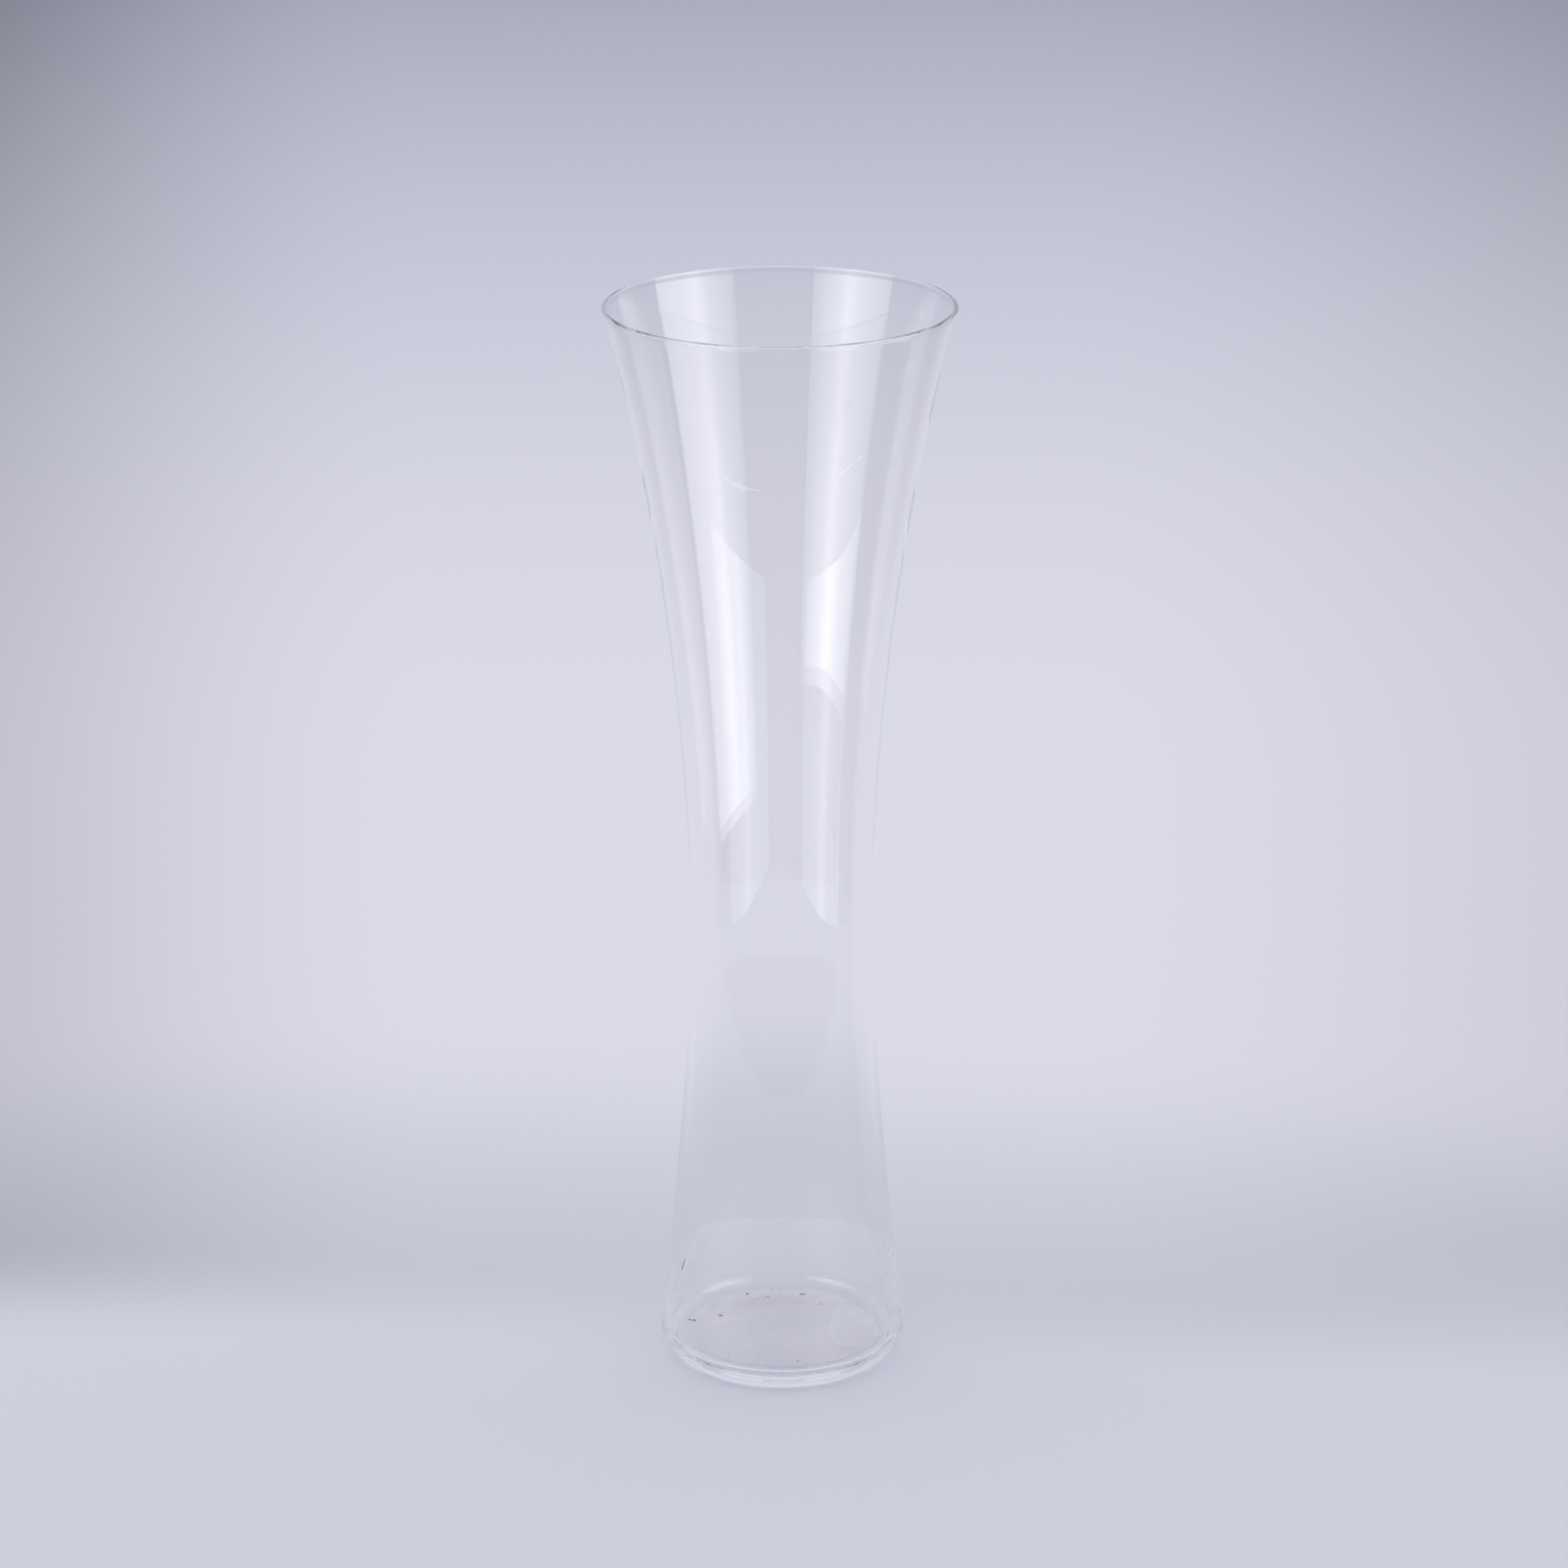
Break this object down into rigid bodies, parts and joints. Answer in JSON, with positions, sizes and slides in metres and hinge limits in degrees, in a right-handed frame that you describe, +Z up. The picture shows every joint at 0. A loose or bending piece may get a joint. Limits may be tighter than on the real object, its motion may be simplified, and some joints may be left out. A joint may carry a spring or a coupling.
{
  "type": "flute vase",
  "caption": "Tall clear glass vase with a flared mouth, a slim waist, a wider thick-based foot and a flat ring to stand on.",
  "frame": {"origin": "centre of the standing ring, on the plane that the vase stands on", "axes": "+Z up along the axis of the vase, towards its mouth; the vase is round about Z"},
  "size_m": [0.1886, 0.1886, 0.6],
  "materials": {
    "clear_glass": "clear polished soda-lime glass, faintly blue-grey where it is thick, with light wear, small scratches and a little dried residue on the inside of the floor"
  },
  "bodies": {
    "root": {"vase_glass": "clear_glass"}
  },
  "joints": []
}
